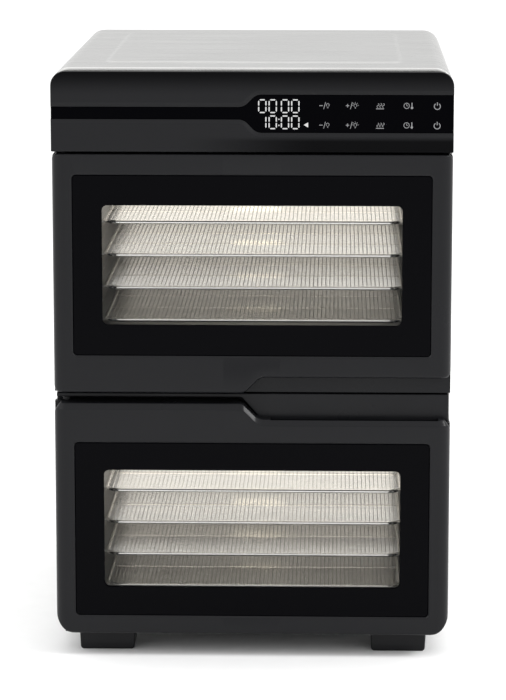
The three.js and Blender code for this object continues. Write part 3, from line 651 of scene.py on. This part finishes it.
def outer_cover():
    thing = cover_skin()
    shape = bmesh.new()
    shape.from_mesh(thing.data)
    bmesh.ops.delete(shape, geom=[v for v in shape.verts if not v.link_faces], context="VERTS")
    bmesh.ops.remove_doubles(shape, verts=shape.verts, dist=1e-6)
    bmesh.ops.recalc_face_normals(shape, faces=shape.faces)
    top = max(shape.faces, key=lambda f: f.calc_center_median().z)
    if top.normal.z < 0:
        bmesh.ops.reverse_faces(shape, faces=shape.faces)
    shape.to_mesh(thing.data)
    shape.free()
    sheet = thing.modifiers.new("sheet", "SOLIDIFY")
    sheet.thickness = SHEET * MM
    sheet.offset = -1.0
    sheet.use_even_offset = True
    baked(thing)
    present(thing, "vis_outer_cover", "cabinet", LOOKS["brushed_cover"], ["outer_cover"], 40)


def lens_recess():
    """The cutter for the lens strip's recess, with its sloped border."""
    depth = LENS_FACE_Y - FRONT_Y
    rings = [
        (outline(LENS_CORNERS, -LENS_BORDER - LENS_BORDER / depth), FRONT_Y - 1.0),
        (outline(LENS_CORNERS, -LENS_BORDER), FRONT_Y),
        (outline(LENS_CORNERS, 0.8 - LENS_BORDER), FRONT_Y + LENS_BORDER_EASE),
        (outline(LENS_CORNERS, -0.5), LENS_FACE_Y - LENS_BORDER_EASE),
        (outline(LENS_CORNERS, 0.0), LENS_FACE_Y + 0.1),
        (outline(LENS_CORNERS, 0.0), LENS_SEAT_Y),
    ]
    return loft(rings)


def control_fascia():
    low, high = FASCIA_Z
    front = [
        (-HALF_WIDTH, low, 1.0),
        (HALF_WIDTH, low, 1.0),
        (HALF_WIDTH, high, FASCIA_CORNER_R),
        (-HALF_WIDTH, high, FASCIA_CORNER_R),
    ]
    nose = COVER_NOSE_Y - GAP
    back = SIDE_FRONT_Y - GAP
    thing = slab(front, FRONT_Y, nose, 1.2, 0.0, 16)
    sides = box_corners((-HALF_WIDTH, HALF_WIDTH), (low, COVER_TOP_Z - COVER_R - GAP), 1.0)
    under = NOSE_LIP + GAP
    reach = HALF_WIDTH - under
    crown = box_corners((-reach, reach), (low + 2, COVER_TOP_Z - under), COVER_R - under)
    join(thing, slab(sides, nose - 1, back))
    join(thing, slab(crown, nose - 1, back))
    cut(thing, lens_recess())
    cut(thing, slab(box_corners(DISPLAY_WELL_X, DISPLAY_WELL_Z, 1.0), FRONT_Y, back - 4))
    cut(thing, rod((HINGE_X, HINGE_Y, low - 1), (HINGE_X, HINGE_Y, low + 14), TOP_PIN_BORE_R))
    present(thing, "vis_control_fascia", "cabinet", FASCIA_LOOK, ["control_fascia"])


def display_lens():
    corners = []
    for x, z, radius in LENS_CORNERS:
        corners.append((max(-HALF_WIDTH, min(HALF_WIDTH, x)), z, radius))
    thing = loft(
        [
            (outline(corners, 0.5, 12), LENS_FACE_Y),
            (outline(corners, 0.15, 12), LENS_FACE_Y + 0.3),
            (outline(corners, 0.15, 12), LENS_BACK_Y),
        ]
    )
    present(thing, "vis_display_lens", "cabinet", LOOKS["gloss_lens"], ["display_lens"])


def front_frame():
    edge = SHEET + GAP
    shell = box_corners(
        (-HALF_WIDTH + edge, HALF_WIDTH - edge), (BODY_BOTTOM_Z + edge, COVER_TOP_Z - edge), COVER_R - edge
    )
    thing = slab(shell, *FRAME_Y, 0.6, 0.0, 12)
    join(thing, slab(DIVIDER, GRIP_WALL_Y + GAP, FRAME_Y[0] + 1, 0.9, 0.0, 10))
    for base in ZONES.values():
        mouth = (CHAMBER_Z[0] + base, CHAMBER_Z[1] + base)
        flare = loft(
            [
                (outline(box_corners((-MOUTH_HALF_WIDTH, MOUTH_HALF_WIDTH), mouth, 4.0), -inset), y)
                for inset, y in MOUTH_FLARE
            ]
        )
        cut(thing, flare)
        catch_z = (CATCH_WINDOW_Z[0] + base, CATCH_WINDOW_Z[1] + base)
        cut(thing, slab(box_corners(CATCH_WINDOW_X, catch_z, 0.5), FRAME_Y[0] - 1, FRAME_Y[1] + 1))
    cut(thing, rod((HINGE_X, HINGE_Y, 209), (HINGE_X, HINGE_Y, 235), PIN_BORE_R))
    present(thing, "vis_front_frame", "cabinet", LOOKS["black_moulding"], ["front_frame"])


def foot(name, x_sign, y):
    taper = 1.0
    corners = [
        (FOOT_X[0] + taper, 0.0, 3.0),
        (FOOT_X[1] - taper, 0.0, 3.0),
        (FOOT_X[1], FOOT_HEIGHT, 0.4),
        (FOOT_X[0], FOOT_HEIGHT, 0.4),
    ]
    if x_sign < 0:
        corners = [(-x, z, r) for x, z, r in reversed(corners)]
    thing = slab(corners, y - FOOT_DEPTH / 2, y + FOOT_DEPTH / 2, 1.5, 1.5)
    present(thing, "vis_" + name, "cabinet", LOOKS["black_moulding"], [name])


# Doors


def door_stations():
    """Plan positions along a door's front: x, y and the outward normal, from the left side to the right."""
    centre_x = HALF_WIDTH - DOOR_SIDE_R
    centre_y = FRONT_Y + DOOR_SIDE_R
    arc = 12
    right = []
    for k in range(arc + 1):
        angle = math.pi / 2 * k / arc
        nx, ny = math.sin(angle), -math.cos(angle)
        right.append((centre_x + DOOR_SIDE_R * nx, centre_y + DOOR_SIDE_R * ny, nx, ny))
    left = [(-x, y, -nx, ny) for x, y, nx, ny in reversed(right)]
    across = graded([-100, -60, 60, 100], [(-25, 25)], 0.8)
    edge = graded([], [(156, 162.9)], 0.7)
    xs = sorted(set(across + edge + [-x for x in edge]))
    return left + [(x, FRONT_Y, 0.0, -1.0) for x in xs if abs(x) < centre_x - 0.05] + right


def edge_section(tall, deep):
    """A front edge's section, as distances from the edge and back from the face.

    It is round when tall and deep are the same, and a soft bevel otherwise.
    """
    points = []
    steps = 12
    for k in range(steps + 1):
        if tall == deep:
            angle = math.pi / 2 * k / steps
            points.append((tall * (1 - math.cos(angle)), deep * (1 - math.sin(angle))))
            continue
        drop = BEVEL_RUN_OUT * tall * (k / steps) ** BEVEL_SPACING
        line = (tall - drop) * deep / tall
        inset = (line + math.hypot(line, BEVEL_EASE)) / 2 if k < steps else 0.0
        short = max(BEVEL_NOSE_R - drop, 0.0)
        points.append((drop, inset + BEVEL_NOSE_R - math.sqrt(BEVEL_NOSE_R**2 - short**2)))
    return points


def columns(stations, back_y, z_low, z_high, edges):
    """A closed solid of upright columns, with shaped lower and upper front edges."""
    levels = [(z_low, drop, inset) for drop, inset in edge_section(*edges[0])]
    levels += [(z_high, -drop, inset) for drop, inset in reversed(edge_section(*edges[1]))]
    count = len(stations)
    verts = []
    for height, rise, inset in levels:
        front = [(x - nx * inset, y - ny * inset, height(x) + rise) for x, y, nx, ny in stations]
        back = [(p[0], back_y(p[0]), p[2]) for p in front]
        verts += front + back[::-1]
    faces = []
    ring = 2 * count
    for k in range(len(levels) - 1):
        for i in range(ring):
            a = k * ring + i
            b = k * ring + (i + 1) % ring
            faces.append((a, b, b + ring, a + ring))
    for base in (0, (len(levels) - 1) * ring):
        for i in range(count - 1):
            faces.append((base + i, base + i + 1, base + ring - 2 - i, base + ring - 1 - i))
    return object_from(verts, faces)


def hinge_back_y(x):
    """The back of a door's casing, which turns in round the hinge axis at the left."""
    reach = HINGE_EDGE_R**2 - (x - HINGE_X) ** 2
    if x >= HINGE_X or reach <= 0:
        return CASING_BACK_Y if x >= HINGE_X else HINGE_Y
    return min(CASING_BACK_Y, HINGE_Y + math.sqrt(reach))


def back_layer(spec):
    """The part of a casing behind its grip."""
    thing = slab(spec["back"], GRIP_WALL_Y - 0.05, CASING_BACK_Y, 0.0, 0.0, 12)
    plan = [(HALF_WIDTH + 1, -220.0), (HALF_WIDTH + 1, CASING_BACK_Y + 1), (HINGE_X, CASING_BACK_Y + 1)]
    for k in range(13):
        x = HINGE_X - HINGE_EDGE_R * k / 12
        plan.append((x, hinge_back_y(x)))
    plan.append((-HALF_WIDTH, -220.0))
    verts = [(x, y, z) for z in (0.0, 600.0) for x, y in plan]
    count = len(plan)
    faces = [(i, (i + 1) % count, count + (i + 1) % count, count + i) for i in range(count)]
    faces += [tuple(range(count)), tuple(range(2 * count - 1, count - 1, -1))]
    return combine(thing, object_from(verts, faces), "INTERSECT")


def door_casing(name, spec):
    ends_low, ends_high = spec["ends_low"], spec["ends_high"]
    low_corner, high_corner = spec["corner"]
    z_low = edge_height(-HALF_WIDTH, HALF_WIDTH, ends_low, low_corner, spec["low"], False)
    z_high = edge_height(-HALF_WIDTH, HALF_WIDTH, ends_high, high_corner, spec["high"], True)
    thing = columns(door_stations(), lambda x: GRIP_WALL_Y, z_low, z_high, spec["edges"])
    join(thing, back_layer(spec))
    glass = box_corners((-GLASS_HALF_WIDTH, GLASS_HALF_WIDTH), spec["glass"], GLASS_CORNER_R)
    ledge = GLASS_Y[1] + GAP
    rebate = [(outline(glass, -out), FRONT_Y + back) for out, back in GLASS_REBATE]
    cut(thing, loft(rebate + [(outline(glass), ledge)]))
    half = WINDOW_HALF_WIDTH + TUNNEL_MARGIN
    tunnel = (spec["window"][0] - TUNNEL_MARGIN, spec["window"][1] + TUNNEL_MARGIN)
    cut(thing, slab(box_corners((-half, half), tunnel, 3.0), FRONT_Y, CASING_BACK_Y + 1))
    grip = [(x, z, 5.0) for x, z, _ in box_corners(GRIP_X, spec["grip"], 0)]
    cut(thing, slab(grip, FRONT_Y + GRIP_SKIN, GRIP_WALL_Y))
    for end, z in zip((1, -1), spec["z"]):
        bottom = z + end * (PIN_LENGTH + 2)
        cut(thing, rod((HINGE_X, HINGE_Y, z - end * 3), (HINGE_X, HINGE_Y, bottom), PIN_BORE_R))
    present(
        thing,
        f"vis_{name}_door_casing",
        f"{name}_door",
        LOOKS["black_moulding"],
        [f"{name}_door_casing"],
    )


def door_glass(name, spec):
    """One pane: a black printed border round a clear window."""
    outer = box_corners((-GLASS_HALF_WIDTH, GLASS_HALF_WIDTH), spec["glass"], GLASS_CORNER_R)
    window = box_corners((-WINDOW_HALF_WIDTH, WINDOW_HALF_WIDTH), spec["window"], WINDOW_CORNER_R)
    front, back = GLASS_Y
    rings = [
        (outline(window), front),
        (outline(outer, GAP + 0.5), front),
        (outline(outer, GAP), front + 0.5),
        (outline(outer, GAP), back - 0.5),
        (outline(outer, GAP + 0.5), back),
        (outline(window), back),
    ]
    thing = loft(rings)
    thing.data.materials.append(LOOKS["door_glass"])
    thing.data.materials.append(CLEAR_GLASS)
    for face in thing.data.polygons:
        if len(face.vertices) > 4:
            face.material_index = 1
    present(thing, f"vis_{name}_door_glass", f"{name}_door", None, [f"{name}_door_glass"])


# Trays


def tube_loop(points, radius, sides, z):
    """Verts and faces of a round bar along a closed loop of (x, y) points."""
    count = len(points)
    verts, faces = [], []
    for i, (x, y) in enumerate(points):
        bx, by = points[i - 1]
        ax, ay = points[(i + 1) % count]
        along = Vector((ax - bx, ay - by)).normalized()
        for k in range(sides):
            angle = 2 * math.pi * k / sides
            out = radius * math.cos(angle)
            verts.append((x + along.y * out, y - along.x * out, z + radius * math.sin(angle)))
    for i in range(count):
        for k in range(sides):
            a = i * sides + k
            b = i * sides + (k + 1) % sides
            c = ((i + 1) % count) * sides
            faces.append((a, b, c + (k + 1) % sides, c + k))
    return verts, faces


def straight_wire(start, end, radius, sides):
    a, b = Vector(start), Vector(end)
    axis = (b - a).normalized()
    side = Vector((-axis.y, axis.x, 0))
    verts = []
    for centre in (a, b):
        for k in range(sides):
            angle = 2 * math.pi * (k + 0.5) / sides
            rise = Vector((0, 0, radius * math.sin(angle)))
            verts.append(tuple(centre + side * radius * math.cos(angle) + rise))
    faces = [(k, (k + 1) % sides, sides + (k + 1) % sides, sides + k) for k in range(sides)]
    faces += [tuple(range(sides)), tuple(range(2 * sides - 1, sides - 1, -1))]
    return verts, faces


def gather(parts):
    verts, faces = [], []
    for part_verts, part_faces in parts:
        base = len(verts)
        verts += part_verts
        faces += [tuple(base + i for i in face) for face in part_faces]
    return verts, faces


def tray_parts():
    inner = TRAY_ROD_R
    corners = [
        (-TRAY_HALF_WIDTH, TRAY_Y[0], TRAY_CORNER_R),
        (TRAY_HALF_WIDTH, TRAY_Y[0], TRAY_CORNER_R),
        (TRAY_HALF_WIDTH, TRAY_Y[1], TRAY_CORNER_R),
        (-TRAY_HALF_WIDTH, TRAY_Y[1], TRAY_CORNER_R),
    ]
    parts = [tube_loop(outline(corners, inner, 8), TRAY_ROD_R, 12, 0.0)]
    x_edge = TRAY_HALF_WIDTH - 2 * inner
    corner = TRAY_CORNER_R - 2 * inner

    def clearance(distance):
        """How far a wire at this distance from a side stops short of the end, for the rounded corner."""
        if distance >= corner:
            return 0.0
        return corner - math.sqrt(corner**2 - (corner - distance) ** 2)

    columns_count = int(2 * x_edge / MESH_PITCH)
    for i in range(1, columns_count):
        x = -x_edge + 2 * x_edge * i / columns_count
        short = clearance(x_edge - abs(x)) - 1.0
        y = (TRAY_Y[0] + 2 * inner + short, TRAY_Y[1] - 2 * inner - short)
        parts.append(straight_wire((x, y[0], MESH_WIRE_R), (x, y[1], MESH_WIRE_R), MESH_WIRE_R, 6))
    y_low, y_high = TRAY_Y[0] + 2 * inner, TRAY_Y[1] - 2 * inner
    rows_count = int((y_high - y_low) / MESH_PITCH)
    for i in range(1, rows_count):
        y = y_low + (y_high - y_low) * i / rows_count
        short = clearance(min(y - y_low, y_high - y)) - 1.0
        reach = x_edge - short
        parts.append(straight_wire((-reach, y, -MESH_WIRE_R), (reach, y, -MESH_WIRE_R), MESH_WIRE_R, 6))
    for k in range(1, SUPPORT_RODS + 1):
        y = y_low + (y_high - y_low) * k / (SUPPORT_RODS + 1)
        z = -TRAY_ROD_R + SUPPORT_ROD_R + 0.02
        parts.append(straight_wire((-x_edge - 1, y, z), (x_edge + 1, y, z), SUPPORT_ROD_R, 8))
    return parts


def trays():
    mesh = mesh_from(*gather(tray_parts()), name="tray_wires")
    for zone, base in ZONES.items():
        for i in range(TRAY_COUNT):
            node = f"{zone}_tray_{TRAY_COUNT - i}"
            thing = bpy.data.objects.new("tray", mesh.copy())
            bpy.context.scene.collection.objects.link(thing)
            thing.data.transform(Matrix.Translation((0, 0, (base + LOWEST_TRAY_Z + i * TRAY_PITCH) * MM)))
            present(thing, "vis_" + node, node, LOOKS["tray_wire"], [node], 50, False)


# Display


def prism(points):
    """A thin raised print on the lens face from an outline of (x, z) points."""
    y = LENS_FACE_Y
    count = len(points)
    verts = [(x, y - PRINT_DEPTH, z) for x, z in points] + [(x, y, z) for x, z in points]
    faces = [(i, (i + 1) % count, count + (i + 1) % count, count + i) for i in range(count)]
    faces += [tuple(range(count)), tuple(range(2 * count - 1, count - 1, -1))]
    return verts, faces


def bar(x0, z0, x1, z1, width):
    """A stroke with pointed ends."""
    a, b = Vector((x0, z0)), Vector((x1, z1))
    along = (b - a).normalized() * width / 2
    side = Vector((-along.y, along.x))
    tips = [a, a + along - side, b - along - side, b, b - along + side, a + along + side]
    return prism([tuple(p) for p in tips])


def stroke(x0, z0, x1, z1, width):
    a, b = Vector((x0, z0)), Vector((x1, z1))
    side = (b - a).normalized() * width / 2
    side = Vector((-side.y, side.x))
    return prism([tuple(p) for p in (a - side, b - side, b + side, a + side)])


def arc_stroke(cx, cz, radius, start, end, width, steps=14):
    inner, outer = [], []
    for k in range(steps + 1):
        angle = math.radians(start + (end - start) * k / steps)
        direction = Vector((math.cos(angle), math.sin(angle)))
        outer.append((cx + direction.x * (radius + width / 2), cz + direction.y * (radius + width / 2)))
        inner.append((cx + direction.x * (radius - width / 2), cz + direction.y * (radius - width / 2)))
    return prism(outer + inner[::-1])


def digit(x, z, lit_bars):
    """The bars a to f round one digit, of which the named ones are lit."""
    w, h, s = DIGIT_WIDTH, DIGIT_HEIGHT / 2, DIGIT_STROKE
    left, right = x + s / 2, x + w - s / 2
    top, low = z + h - s / 2, z - h + s / 2
    ease = 0.75
    bars = {
        "a": (left + ease, top, right - ease, top),
        "b": (right, top - ease, right, z + ease / 2),
        "c": (right, z - ease / 2, right, low + ease),
        "d": (left + ease, low, right - ease, low),
        "e": (left, z - ease / 2, left, low + ease),
        "f": (left, top - ease, left, z + ease / 2),
    }
    return [bar(*bars[b], s) for b in lit_bars]


def dot(x, z, size):
    h = size / 2
    return prism([(x - h, z - h), (x + h, z - h), (x + h, z + h), (x - h, z + h)])


def display_digits():
    zero, one = "abcdef", "bc"
    parts = []
    for x in DIGIT_X:
        parts += digit(x, ROW_Z[0], zero)
    for x, shape in zip(DIGIT_X, (one, zero, zero, zero)):
        parts += digit(x, ROW_Z[1], shape)
    for z in COLON_Z:
        parts.append(dot(COLON_X, z, 1.0))
    parts.append(prism(ARROW))
    thing = object_from(*gather(parts))
    present(thing, "vis_display_digits", "cabinet", PRINT, sharp=20, weighted=False)


def bulb_icon(x, z, rays):
    parts = [arc_stroke(x, z + 0.5, 1.25, -55, 235, 0.42)]
    parts.append(stroke(x - 0.6, z - 1.3, x + 0.6, z - 1.3, 0.4))
    parts.append(stroke(x - 0.4, z - 2.0, x + 0.4, z - 2.0, 0.4))
    if rays:
        for angle in (0, 45, 90, 135, 180):
            c, s = math.cos(math.radians(angle)), math.sin(math.radians(angle))
            parts.append(stroke(x + c * 2.0, z + 0.5 + s * 2.0, x + c * 2.8, z + 0.5 + s * 2.8, 0.38))
    return parts


def slash(x, z):
    return stroke(x - 0.8, z - 2.9, x + 0.8, z + 2.9, 0.5)


def minus_icon(x, z):
    return [stroke(x - 4.1, z, x - 1.2, z, 0.6), slash(x + 0.4, z)] + bulb_icon(x + 3.1, z, False)


def plus_icon(x, z):
    parts = [stroke(x - 4.6, z, x - 1.8, z, 0.6), stroke(x - 3.2, z - 1.4, x - 3.2, z + 1.4, 0.6)]
    return parts + [slash(x, z)] + bulb_icon(x + 3.4, z - 0.2, True)


def warmth_icon(x, z):
    """Three rising waves over a bar."""
    parts = [stroke(x - 3.4, z - 2.6, x + 3.4, z - 2.6, 0.6)]
    for offset in (-2.3, 0.0, 2.3):
        parts.append(arc_stroke(x + offset + 0.55, z - 0.6, 0.85, 90, 270, 0.45, 8))
        parts.append(arc_stroke(x + offset + 0.55, z + 1.1, 0.85, -90, 90, 0.45, 8))
    return parts


def clock_icon(x, z):
    """A clock beside a thermometer."""
    parts = [arc_stroke(x - 1.6, z, 2.3, 0, 360, 0.5, 28)]
    parts.append(stroke(x - 1.6, z, x - 1.6, z + 1.5, 0.45))
    parts.append(stroke(x - 1.6, z, x - 0.5, z, 0.45))
    parts.append(stroke(x + 2.9, z - 0.9, x + 2.9, z + 2.6, 0.8))
    parts.append(arc_stroke(x + 2.9, z - 1.7, 0.55, 0, 360, 1.0, 16))
    return parts


def power_icon(x, z):
    return [arc_stroke(x, z - 0.4, 2.6, 125, 415, 0.7, 24), stroke(x, z + 0.2, x, z + 3.1, 0.7)]


def display_icons():
    parts = []
    for z in ICON_ROW_Z:
        for x, icon in zip(ICON_X, (minus_icon, plus_icon, warmth_icon, clock_icon, power_icon)):
            parts += icon(x, z)
    thing = object_from(*gather(parts))
    present(thing, "vis_key_icons", "cabinet", ICON_PRINT, sharp=20, weighted=False)


# Everything that is kept from the frame


def dress_frame():
    for row in frame["record"]["subparts"]:
        thing = frame["nodes"][row["node"]]
        thing.data.materials.clear()
        thing.data.materials.append(LOOKS[row["material_slot"]])


# Studio


def studio():
    r = FLOOR_REACH
    verts = [(-r, -r, 0), (r, -r, 0), (r, r, 0), (-r, r, 0)]
    floor = object_from(verts, [(0, 1, 2, 3)], "floor")
    look, nodes, links, shader = finish_tree("floor_paper")
    fine = noise(nodes, links, (1, 1, 1), 40.0)
    vary_colour(nodes, links, fine, (0.91, 0.91, 0.91), (0.93, 0.93, 0.93), shader.inputs["Base Color"])
    shader.inputs["Roughness"].default_value = 0.9
    shader.inputs["Specular IOR Level"].default_value = 0.1
    floor.data.materials.append(look)


def sky():
    """A white sky, stronger overhead and to both sides, so that the embossed panel's slopes show."""
    world = bpy.data.worlds.new("studio_world")
    world.use_nodes = True
    nodes, links = world.node_tree.nodes, world.node_tree.links
    nodes["Background"].inputs["Color"].default_value = (1, 1, 1, 1)
    place = nodes.new("ShaderNodeTexCoord")
    split = nodes.new("ShaderNodeSeparateXYZ")
    rise = ramp(nodes, *SKY_RISE)
    flank = ramp(nodes, *SKY_FLANK)
    sideways = nodes.new("ShaderNodeMath")
    sideways.operation = "ABSOLUTE"
    links.new(place.outputs["Generated"], split.inputs["Vector"])
    links.new(split.outputs["Z"], rise.inputs["Value"])
    links.new(split.outputs["X"], sideways.inputs[0])
    links.new(sideways.outputs["Value"], flank.inputs["Value"])
    total = two_values(nodes, links, "ADD", rise.outputs["Result"], flank.outputs["Result"])
    links.new(total, nodes["Background"].inputs["Strength"])
    bpy.context.scene.world = world


def area_light(name, place, aim, size, power, colour=(1, 1, 1)):
    data = bpy.data.lights.new(name, "AREA")
    data.shape = "RECTANGLE"
    data.size, data.size_y = size
    data.energy = power
    data.color = colour
    thing = bpy.data.objects.new(name, data)
    thing.location = place
    direction = Vector(aim) - Vector(place)
    thing.rotation_euler = direction.to_track_quat("-Z", "Y").to_euler()
    bpy.context.scene.collection.objects.link(thing)
    return thing


def lights():
    area_light("overhead_softbox", (0.0, 0.3, 2.6), (0, 0, 0.3), (2.4, 2.0), 10)
    area_light("left_softbox", (-2.2, -1.6, 1.6), (0, 0, 0.25), (1.2, 1.8), 10)
    area_light("upper_right_key", (2.03, -0.63, 1.80), (0, -0.2, 0.22), (0.5, 0.5), 24)
    for zone, base in ZONES.items():
        height = (base + CHAMBER_Z[1] - 8.0) * MM
        place, aim = (0, -0.040, height), (0, -0.040, 0)
        area_light(f"{zone}_chamber_light", place, aim, (0.25, 0.22), 0.30, CHAMBER_LIGHT_COLOUR)


def camera():
    data = bpy.data.cameras.new("photo_camera")
    data.sensor_width = 36.0
    data.lens = CAMERA_LENS
    thing = bpy.data.objects.new("photo_camera", data)
    thing.location = CAMERA_PLACE
    view = Vector(CAMERA_AIM) - Vector(CAMERA_PLACE)
    thing.rotation_euler = view.to_track_quat("-Z", "Y").to_euler()
    bpy.context.scene.collection.objects.link(thing)
    bpy.context.scene.camera = thing
    bpy.context.scene.view_settings.view_transform = "Standard"


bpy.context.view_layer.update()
dress_frame()
outer_cover()
control_fascia()
display_lens()
front_frame()
for foot_end, foot_y in (("front", -FOOT_Y), ("rear", FOOT_Y)):
    foot(f"{foot_end}_left_foot", -1, foot_y)
    foot(f"{foot_end}_right_foot", 1, foot_y)
for door_name, door_spec in DOORS.items():
    door_casing(door_name, door_spec)
    door_glass(door_name, door_spec)
trays()
display_digits()
display_icons()
studio()
sky()
lights()
camera()
bpy.context.view_layer.update()
